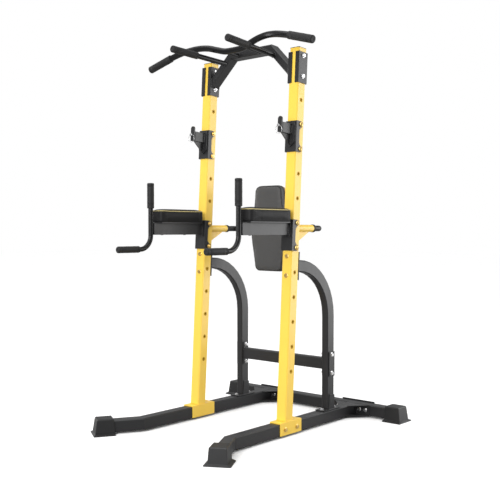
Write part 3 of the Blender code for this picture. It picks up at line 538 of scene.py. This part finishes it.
for word, side in SIDES:
    x = side * UPRIGHT_X
    ends = [leaning(side * p.x, p.y, p.z) for p in (NEUTRAL_START, NEUTRAL_END)]
    path = [ends[0].lerp(ends[1], i / 6) for i in range(7)]
    straight_tube = swept_tube(path, NEUTRAL_R)
    straight = add_piece("straight_handle_" + word, straight_tube, "root", gloss_black)
    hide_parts("neutral_bar_" + word)

    curve = arc((HANDLE_Y - HANDLE_BEND, LOWER_Z + HANDLE_BEND), HANDLE_BEND, 0, -90, 16)
    path = [(x, HANDLE_Y, 1.2535 - 0.02 * i) for i in range(13)] + [(x, y, z) for y, z in curve]
    path += [(x, HANDLE_Y - HANDLE_BEND - 0.1425 * i / 6, LOWER_Z) for i in range(1, 7)]
    bent_tube = swept_tube(path, HANDLE_R)
    handle = add_piece("bent_handle_" + word, bent_tube, "arm_" + word, gloss_black)
    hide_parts("dip_handle_" + word)

bend = 0.034
back_y = UPRIGHT_Y + 0.306
corner = arc((UPRIGHT_X - bend, back_y - bend), bend, 0, 90, 12)
right = [(UPRIGHT_X, UPRIGHT_Y + 0.112 + 0.025 * i) for i in range(6)] + corner
middle = [(UPRIGHT_X - bend - 0.05 * i, back_y) for i in range(1, 6)]
outline = right + middle
outline += [(-x, y) for x, y in reversed(outline)]
tube = swept_tube([(x, y, PEG_Z) for x, y in outline], PEG_R)
backrest_tube = add_piece("backrest_tube", tube, "backrest", gloss_black)


def in_plane(u, v, depth, axes):
    """Point at u, v in the xy or the xz plane, and at a depth across it."""
    return Vector((u, v, depth) if axes == "xy" else (u, depth, v))


def slab(outline, low, high, axes, soften=0.0015, segments=2):
    """Plate cut to an outline in two axes, with its edges eased all round."""
    data = bmesh.new()
    rings = [[data.verts.new(in_plane(u, v, depth, axes)) for u, v in outline] for depth in (low, high)]
    count = len(outline)
    for i in range(count):
        data.faces.new((rings[0][i], rings[0][(i + 1) % count], rings[1][(i + 1) % count], rings[1][i]))
    caps = [data.faces.new(rings[0]), data.faces.new(rings[1])]
    bmesh.ops.recalc_face_normals(data, faces=data.faces[:])
    rim = [e for face in caps for e in face.edges]
    if soften:
        bmesh.ops.bevel(data, geom=rim, offset=soften, segments=segments, affect="EDGES", profile=0.5)
    return data


def rounded_box(half_x, half_z, radius, steps=6):
    points = []
    for quarter, (sx, sz) in enumerate(((1, 1), (-1, 1), (-1, -1), (1, -1))):
        centre = (sx * (half_x - radius), sz * (half_z - radius))
        points += arc(centre, radius, quarter * 90, quarter * 90 + 90, steps)
    return points


plate_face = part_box("backrest_board")[1].y + 0.0003
mount = slab([(x, PEG_Z + z) for x, z in rounded_box(0.070, 0.045, 0.008)],
             plate_face, back_y - PEG_R + 0.001, "xz")
add_piece("backrest_mount", mount, "backrest", black_coat, 30)
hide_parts("backrest_frame")
seam = bmesh.new()
for z in (PEG_Z - 0.0105, PEG_Z + 0.0105):
    bead([(x, back_y - 0.0115, z) for x in (-0.066, 0.066)], 0.0022, seam)
add_piece("backrest_welds", seam, "backrest", black_bead)


# ---- foam grips ----------------------------------------------------------------------------------
# Closed-cell foam sleeves with a moulded rounded end, pushed over the ends of the round tubes.
# Each has a rolled mouth and shallow moulded rings near both ends.

foam = finish("black_foam", (0.010, 0.010, 0.0105), 0.62, 2600.0, 0.00025, 0.22, rough_spread=0.18,
              sheen=0.04, specular=0.35)


def grip(name, mouth, direction, length, bore, radius, body, stands_for):
    end = 0.006
    profile = [(length - 0.007, 0), (length - 0.007, bore), (0.0012, bore), (0.0, bore + 0.0008),
               (0.0, radius - 0.0018), (0.0010, radius - 0.0004), (0.0026, radius)]
    for ring in (0.010, 0.0145, 0.019):
        profile += [(ring - 0.0010, radius), (ring, radius - 0.0007), (ring + 0.0010, radius)]
    for part in range(1, 7):
        t = 0.019 + (length - 0.045) * part / 7
        profile.append((t, radius + 0.0002 * math.sin(part * 1.9)))
    for ring in (length - 0.019, length - 0.0145):
        profile += [(ring - 0.0010, radius), (ring, radius - 0.0007), (ring + 0.0010, radius)]
    for step in range(7):
        angle = math.radians(15 * step)
        profile.append((length - end + end * math.sin(angle), radius - end + end * math.cos(angle)))
    profile.append((length, 0.004))
    profile.append((length - 0.0012, 0))
    sleeve = add_piece(name, turn(mouth, direction, profile, 40), body, foam, 50)
    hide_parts(stands_for)


for word, side in SIDES:
    start, end = [leaning(side * p.x, p.y, p.z) for p in (GRIP_START, GRIP_END)]
    along = (end - start).normalized()
    grip("wide_grip_" + word, start + along * 0.004, along, (end - start).length + 0.0025, BAR_R + 0.0004,
         0.0195, "root", "bar_grip_" + word)
    start, end = [leaning(side * p.x, p.y, p.z) for p in (NEUTRAL_START, NEUTRAL_END)]
    along = (end - start).normalized()
    grip("straight_grip_" + word, end - along * 0.165, along, 0.1715, NEUTRAL_R + 0.0004, 0.0180, "root",
         "neutral_grip_" + word)
    x = side * UPRIGHT_X
    grip("upright_grip_" + word, (x, HANDLE_Y, 1.130), (0, 0, 1), 0.129, HANDLE_R + 0.0004, 0.0178,
         "arm_" + word, "dip_grip_" + word)
    grip("forward_grip_" + word, (x, UPRIGHT_Y - 0.420, LOWER_Z), (0, -1, 0), 0.138, HANDLE_R + 0.0004,
         0.0168, "arm_" + word, "lower_grip_" + word)


# ---- sliding brackets ----------------------------------------------------------------------------
# Folded plate channels for the bar hooks and the dip arms, in black powder coat. Golden bolts hold
# them, domed heads outside and washers and nuts inside, and the arm tubes are welded on.

CHEEK = 0.005
WASHER = 0.0016
THREAD_PITCH = 0.0012

golden_zinc = finish("yellow_zinc_plate", (0.78, 0.56, 0.20), 0.30, 500.0, 0.00003, 0.16, metallic=1.0,
                     worn=(0.85, 0.78, 0.62))
bright_zinc = finish("bright_zinc_plate", (0.66, 0.66, 0.67), 0.27, 500.0, 0.00003, 0.10, metallic=1.0,
                     worn=(0.85, 0.85, 0.85))


def hexagon(start, direction, across_flats, height, data, chamfer=0.0011):
    """Hexagon with its far corners turned down to a circle, as on a bolt head or a nut."""
    along, across, up = ring_frame(direction)
    corner = across_flats / math.sqrt(3)
    sides = 24
    rings = []
    for level, limit in ((0.0, None), (height - chamfer, None), (height, across_flats / 2 * 0.96)):
        ring = []
        for i in range(sides):
            angle = 2 * math.pi * i / sides
            flat = across_flats / 2 / math.cos((angle + math.pi / 6) % (math.pi / 3) - math.pi / 6)
            radius = min(flat, corner) if limit is None else min(flat, limit)
            ring.append(data.verts.new(Vector(start) + along * level
                                       + (across * math.cos(angle) + up * math.sin(angle)) * radius))
        rings.append(ring)
    bridge(data, rings)
    data.faces.new(rings[0])
    data.faces.new(rings[-1])
    return data


def washer(start, direction, inner, outer, data):
    profile = [(0, inner), (0, outer - 0.0004), (0.0004, outer), (WASHER - 0.0004, outer),
               (WASHER, outer - 0.0005), (WASHER, inner)]
    return turn(start, direction, profile, 32, data)


def thread(start, direction, radius, length, data):
    """Bolt end standing out of its nut, with turned grooves for its thread."""
    profile = [(-0.004, 0), (-0.004, radius)]
    for k in range(int(length / THREAD_PITCH)):
        root = k * THREAD_PITCH
        profile += [(root, radius - 0.0004), (root + THREAD_PITCH / 2, radius)]
    profile += [(length, radius - 0.0007), (length, 0)]
    return turn(start, direction, profile, 20, data)


for kind, low_hole in (("hook", 9), ("arm", 5)):
    for word, side in SIDES:
        dress(("bar_hook_" if kind == "hook" else "dip_arm_") + word, black_coat)
        nuts = bmesh.new()
        for number, level in ((low_hole, "lower"), (low_hole + 1, "upper")):
            dress(f"{kind}_bolt_{word}_{level}", golden_zinc, 0.0006, 2)
            hub = leaning(0, 0, FIRST_HOLE + HOLE_PITCH * number)
            outer = hub + ACROSS * side * (UPRIGHT_X + TUBE / 2 + CHEEK)
            dome = [(0.0003, 0.0128), (0.0012, 0.0128), (0.0035, 0.0124), (0.0062, 0.0108), (0.0084, 0.0082),
                    (0.0097, 0.0046), (0.0100, 0.0034), (0.0080, 0.0030), (0.0080, 0)]
            turn(outer, (side, 0, 0), [(0.0003, 0)] + dome, 36, nuts)
            inner = hub + ACROSS * side * (UPRIGHT_X - TUBE / 2 - CHEEK)
            washer(inner, (-side, 0, 0), 0.0055, 0.0120, nuts)
            hexagon(inner + ACROSS * -side * WASHER, (-side, 0, 0), 0.0165, 0.0080, nuts)
            thread(inner + ACROSS * -side * 0.0096, (-side, 0, 0), 0.0050, 0.0048, nuts)
        add_piece(f"{kind}_fastenings_{word}", nuts, f"{kind}_{word}", golden_zinc)

for word, side in SIDES:
    x = side * UPRIGHT_X
    welds = bmesh.new()
    for n, s in ((-0.0440, 1.4760), (-0.0440, 1.4240)):
        bead([leaning(x + dx, n, s) for dx in (-0.011, 0.011)], 0.0018, welds)
    for dx in (-0.0135, 0.0135):
        bead([leaning(x + dx, -0.0440, s) for s in (1.428, 1.472)], 0.0016, welds)
        bead([leaning(x + dx, -0.1162, s) for s in (1.428, 1.472)], 0.0014, welds)
    add_piece("hook_welds_" + word, welds, "hook_" + word, black_bead)
    welds = bmesh.new()
    for dx in (-0.0155, 0.0155):
        bead([leaning(x + dx, -0.0440, s) for s in (0.929, 0.978)], 0.0018, welds)
        bead([(x + dx * 0.75, HANDLE_Y + HANDLE_R + 0.001, z) for z in (1.000, 1.050)], 0.0022, welds)
    add_piece("arm_welds_" + word, welds, "arm_" + word, black_bead)


# ---- pull pins and rings -------------------------------------------------------------------------
# A zinc-plated pin through each hook's front lip, with a split wire ring to pull it by.

for joint in frame["joints"]:
    if joint["name"].startswith("ring_"):
        word = joint["name"].split("_")[1]
        eye = Vector(joint["pos_m"])
        dress("hook_pin_" + word, bright_zinc, 0.0004, 2)
        ring = bmesh.new()
        loop_radius, wire_radius = 0.0200, 0.000715
        turns, segments = 1.9, 110
        rings = []
        for i in range(segments + 1):
            angle = math.pi / 2 + 2 * math.pi * turns * i / segments
            out = Vector((math.cos(angle), 0, math.sin(angle)))
            lift = Vector((0, (i / segments - 0.5) * 0.0026, 0))
            centre = eye - Vector((0, 0, loop_radius)) + lift + out * loop_radius
            rings.append(ring_of(ring, centre, out, Vector((0, 1, 0)), wire_radius, 10))
        bridge(ring, rings)
        ring.faces.new(rings[0])
        ring.faces.new(rings[-1])
        loop = add_piece("pull_ring_" + word, ring, "ring_" + word, bright_zinc, 80)
        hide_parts("hook_ring_" + word)


# ---- base, brace and clamp bolts -----------------------------------------------------------------
# Hexagon bolts with washers, nuts and a little bare thread past each nut: bright zinc on the rear
# flanges, braces, crossbar and top clamps, and yellow zinc on the saddles and the uprights' splices.
# The saddles' bolts go into the rails' outer walls only, so the inner cheeks are plain.

SHANK = 0.0049


def bolt(seat, direction, grip_length, data, nut=True, flats=0.0160):
    """Head and washer at the seat, and a washer, nut and thread end on the far side."""
    along = Vector(direction).normalized()
    out = -along
    washer(Vector(seat), out, 0.0054, 0.0118, data)
    hexagon(Vector(seat) + out * WASHER, out, flats, 0.0062, data)
    turn(Vector(seat), along, [(0, 0), (0, SHANK), (grip_length, SHANK), (grip_length, 0)], 16, data)
    if nut:
        far = Vector(seat) + along * grip_length
        washer(far, along, 0.0054, 0.0118, data)
        hexagon(far + along * WASHER, along, flats, 0.0078, data)
        thread(far + along * 0.0094, along, SHANK, 0.0050, data)
    return data


SADDLE_BOLTS = (UPRIGHT_Y - 0.034, UPRIGHT_Y + 0.058)
FLANGE_BOLTS = (-0.088, -0.050, 0.050, 0.088)
RAIL_MID = 0.040
REAR_Y = UPRIGHT_Y + 0.627
for word, side in SIDES:
    x = side * UPRIGHT_X
    saddle = bmesh.new()
    for y in SADDLE_BOLTS:
        bolt((x + side * 0.0343, y, RAIL_MID), (-side, 0, 0), 0.009, saddle, nut=False)
    add_piece("saddle_bolts_" + word, saddle, "root", golden_zinc)
    flange = bmesh.new()
    for offset in FLANGE_BOLTS:
        bolt((x + offset, REAR_Y - 0.0353, RAIL_MID), (0, 1, 0), 0.0706, flange)
    add_piece("flange_bolts_" + word, flange, "root", bright_zinc)
    splice = bmesh.new()
    for s in (0.724, 0.820):
        bolt(leaning(x, -TUBE / 2, s), BACK, 0.0663, splice)
    add_piece("splice_bolts_" + word, splice, "root", golden_zinc)
    brace = bmesh.new()
    for y in (COLUMN_Y - 0.052, COLUMN_Y + 0.052):
        bolt((x, y, RAIL_TOP + 0.005), (0, 0, -1), 0.012, brace, nut=False)
    for z in (CROSS_Z - 0.049, CROSS_Z + 0.049):
        bolt((x + side * 0.0253, COLUMN_Y, z), (-side, 0, 0), 0.0506, brace)
    add_piece("brace_bolts_" + word, brace, "root", bright_zinc)
    clamp = bmesh.new()
    for s in (1.719, 1.822):
        bolt(leaning(x + side * 0.0343, 0, s), (-side, 0, 0), 0.0686, clamp, nut=s < 1.75)
    add_piece("clamp_bolts_" + word, clamp, "root", bright_zinc)


# ---- moulded feet, caps and bushes ---------------------------------------------------------------
# Black polypropylene: tapered feet with a flared sole, plugs in the uprights' tops and bushes
# where the backrest's tube enters its sockets.

moulded = finish("moulded_plastic", (0.012, 0.012, 0.0125), 0.46, 1100.0, 0.00012, 0.14,
                 worn=(0.035, 0.035, 0.035), specular=0.4)
for word, side in SIDES:
    dress("boot_front_" + word, moulded, 0.004, 4)
    dress("boot_rear_" + word, moulded, 0.004, 4)
    dress("upright_cap_" + word, moulded, 0.002, 3)
    bush = [(0.0003, 0.0152), (0.0003, 0.0185), (0.0012, 0.0200), (0.0095, 0.0204), (0.0105, 0.0196),
            (0.0115, 0.0204), (0.0135, 0.0200), (0.0145, 0.0188), (0.0145, 0.0152)]
    socket_end = (side * UPRIGHT_X, UPRIGHT_Y + 0.222, PEG_Z)
    add_piece("socket_bush_" + word, turn(socket_end, (0, 1, 0), bush, 48), "root", moulded)


# ---- padded cushions -----------------------------------------------------------------------------
# Foam under a grained vinyl cover: the back pad on a plywood board, the arm pads on the arms' steel.
# Piping runs round the face's edge, pale on the arm pads and black on the back pad, with a
# stitched seam beside it.

# One vinyl on all the pads in two tones: the back pad's lighter grey is painted light falling on its face,
# and the arm pads' near-black is painted shade.
back_vinyl_painted_light = finish("grey_vinyl", (0.066, 0.066, 0.067), 0.52, 700.0, 0.00045, 0.14, rough_spread=0.16,
                    specular=0.25)
arm_vinyl_painted_shade = finish("black_vinyl", (0.013, 0.013, 0.0135), 0.50, 700.0, 0.00045, 0.14, rough_spread=0.16,
                   specular=0.16)
pale_cord = finish("pale_cord", (0.60, 0.50, 0.22), 0.50, 1500.0, 0.0001, 0.10)
welt = finish("welt_piping", (0.007, 0.007, 0.007), 0.40, 900.0, 0.0002, 0.12)
thread_grey = finish("seam_thread", (0.16, 0.155, 0.14), 0.65, 2500.0, 0.0001, 0.12)
plywood = finish("plywood", (0.36, 0.23, 0.12), 0.62, 260.0, 0.0002, 0.34, rough_spread=0.2, streaks=True)


def cushion(name, outline, low, high, axes, swell, body, stands_for, cover):
    """Swells a block under cloth pressure, and then holds how far each point has travelled to the swell.

    The pressure carries the middle of each face past that limit, so the faces are level there and fall
    away towards the rim. The side that rests on its support is kept flat.
    """
    block = slab(outline, low, high, axes, 0.006, 3)
    mesh = bpy.data.meshes.new(name + "_block")
    block.to_mesh(mesh)
    block.free()
    obj = bpy.data.objects.new(name, mesh)
    bpy.context.scene.collection.objects.link(obj)
    remesh = obj.modifiers.new("remesh", "REMESH")
    remesh.mode = "VOXEL"
    remesh.voxel_size = 0.006
    graph = bpy.context.evaluated_depsgraph_get()
    mesh = bpy.data.meshes.new_from_object(obj.evaluated_get(graph))
    obj.modifiers.clear()
    obj.data = mesh
    rest = [v.co.copy() for v in mesh.vertices]
    cloth = obj.modifiers.new("cover", "CLOTH")
    cloth.settings.use_pressure = True
    cloth.settings.uniform_pressure_force = 4.0
    cloth.settings.effector_weights.gravity = 0.0
    cloth.settings.quality = 5
    cloth.settings.mass = 0.3
    cloth.settings.tension_stiffness = 22
    cloth.settings.compression_stiffness = 22
    cloth.settings.bending_stiffness = 0.6
    for number in range(1, 21):
        bpy.context.scene.frame_set(number)
    graph = bpy.context.evaluated_depsgraph_get()
    stuffed = bpy.data.meshes.new_from_object(obj.evaluated_get(graph))
    obj.modifiers.clear()
    obj.data = stuffed
    bpy.context.scene.frame_set(1)
    depth = {"xz": 1, "xy": 2}[axes]
    base = high if axes == "xz" else low
    for vertex, before in zip(obj.data.vertices, rest):
        move = vertex.co - before
        if move.length > swell:
            move *= swell / move.length
        share = min(1.0, abs(before[depth] - base) / 0.014)
        vertex.co = before + move * (0.15 + 0.85 * share)
        if abs(before[depth] - base) < 0.002:
            vertex.co[depth] = base
    divide = obj.modifiers.new("divide", "SUBSURF")
    divide.levels = 1
    divide.render_levels = 1
    obj.data.shade_smooth()
    obj.data.materials.clear()
    obj.data.materials.append(cover)
    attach(obj, body)
    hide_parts(stands_for)
    return obj


def loop_points(outline, level, axes, spacing=0.004):
    """Evenly spaced points round an outline at one level."""
    corners = [Vector((u, v)) for u, v in outline]
    points = []
    for a, b in zip(corners, corners[1:] + corners[:1]):
        count = max(1, round((b - a).length / spacing))
        for i in range(count):
            flat = a.lerp(b, i / count)
            points.append(in_plane(flat.x, flat.y, level, axes))
    return points


def snap(points, obj, offset):
    """Moves points onto a cushion's surface, standing off it by the offset."""
    graph = bpy.context.evaluated_depsgraph_get()
    surface = obj.evaluated_get(graph)
    placed = []
    for point in points:
        found, place, normal, _ = surface.closest_point_on_mesh(point)
        placed.append(place + normal * offset if found else point)
    return placed


def scaled(outline, amount, middle):
    """The outline drawn in towards its middle, by its own amount each way."""
    return [tuple(m + (c - m) * share for c, m, share in zip(point, middle, amount)) for point in outline]


def pad_outline(centre, half_x, half_y, radius, steps):
    """Rounded oblong round an arm pad's centre."""
    return [(centre[0] + u, centre[1] + v) for u, v in rounded_box(half_x, half_y, radius, steps)]


def piping(name, obj, points, radius, body, material=None):
    cord = bead(snap(points, obj, radius * 0.35), radius, closed=True, sides=10, ripple=0.03, step=0.003)
    return add_piece(name, cord, body, material or welt, 60)


def stitches(name, obj, points, body, length=0.0032, gap=0.0018):
    """A row of short thread stitches lying in the cover."""
    line = snap(points, obj, 0.0002)
    data = bmesh.new()
    walked = 0.0
    for a, b in zip(line, line[1:] + line[:1]):
        along = b - a
        size = along.length
        while walked < size:
            start = a + along * (walked / size)
            end = a + along * min(1.0, (walked + length) / size)
            if (end - start).length > 0.001:
                turn(start, end - start, [(0, 0), (0.0004, 0.0004), ((end - start).length - 0.0004, 0.0004),
                                          ((end - start).length, 0)], 6, data)
            walked += length + gap
        walked -= size
    return add_piece(name, data, body, thread_grey, 80)


for word, _ in SIDES:
    low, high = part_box("arm_pad_" + word)
    half_x = (high.x - low.x) / 2
    half_y = (high.y - low.y) / 2
    centre = ((high.x + low.x) / 2, (high.y + low.y) / 2)
    shape = pad_outline(centre, half_x - 0.0035, half_y - 0.0035, 0.020, 7)
    pad = cushion("arm_cushion_" + word, shape, low.z, high.z - 0.0045, "xy", 0.0055, "arm_" + word,
                  "arm_pad_" + word, arm_vinyl_painted_shade)
    face = pad_outline(centre, half_x - 0.004, half_y - 0.004, 0.019, 7)
    edge = loop_points(face, high.z - 0.0085, "xy")
    piping("arm_piping_" + word, pad, edge, 0.0020, "arm_" + word, pale_cord)
    inset = pad_outline(centre, half_x - 0.012, half_y - 0.012, 0.014, 5)
    stitches("arm_stitching_" + word, pad, loop_points(inset, high.z, "xy"), "arm_" + word)
    seams = bmesh.new()
    for y in (low.y + 0.040, high.y - 0.040):
        for way in (-1, 1):
            line = [Vector((centre[0] + way * half_x, y, z)) for z in
                    (low.z + 0.004 + (high.z - low.z - 0.016) * i / 10 for i in range(11))]
            bead(snap(line, pad, 0.0001), 0.0008, seams, sides=6, ripple=0.1, step=0.002)
    add_piece("arm_side_seams_" + word, seams, "arm_" + word, welt, 60)


def back_outline(inset=0.0):
    """Widest at shoulder-blade height, narrower at both ends, with rounded corners."""
    top, bottom = high.z - inset, low.z + inset
    knots = [(0.0, top), (0.040, top), (0.066, top - 0.002), (0.083, top - 0.011), (0.0925, top - 0.028),
             (0.103, 1.165), (0.116, 1.075), (0.1255, 0.990), (0.112, 0.900), (0.0955, bottom + 0.028),
             (0.087, bottom + 0.010), (0.072, bottom + 0.001), (0.045, bottom), (0.0, bottom)]
    curve = smooth_curve([(x - inset if x > 0.05 else x, z, 0) for x, z in knots], 4)
    right_half = [(p.x, p.y) for p in curve]
    return right_half + [(-x, z) for x, z in reversed(right_half[1:-1])]


low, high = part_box("back_pad")
shape = scaled(back_outline(), (0.972, 0.985), (0.0, (low.z + high.z) / 2))
back = cushion("back_cushion", shape, low.y + 0.0045, high.y, "xz", 0.0060, "backrest", "back_pad",
               back_vinyl_painted_light)
piping("back_piping", back, loop_points(back_outline(0.003), low.y + 0.009, "xz"), 0.0031, "backrest")
piping("back_rear_piping", back, loop_points(back_outline(0.003), high.y - 0.004, "xz"), 0.0020, "backrest")
stitches("back_stitching", back, loop_points(back_outline(0.014), low.y, "xz"), "backrest")
dress("backrest_board", plywood, 0.0015, 2)

screws = bmesh.new()
for x in (-0.055, 0.055):
    for z in (-0.033, 0.033):
        bolt((x, back_y - PEG_R + 0.001, PEG_Z + z), (0, -1, 0), 0.006, screws, nut=False, flats=0.0130)
add_piece("backrest_screws", screws, "backrest", bright_zinc)

ARM_UNDERSIDE = 0.995
for word, side in SIDES:
    heads = bmesh.new()
    for y in (UPRIGHT_Y - 0.262, UPRIGHT_Y - 0.100):
        dome = [(0.0001, 0), (0.0001, 0.0072), (0.0008, 0.0070), (0.0016, 0.0056), (0.0021, 0.0032),
                (0.0022, 0)]
        turn((side * UPRIGHT_X, y, ARM_UNDERSIDE), (0, 0, -1), dome, 28, heads)
    add_piece("pad_screws_" + word, heads, "arm_" + word, black_coat)
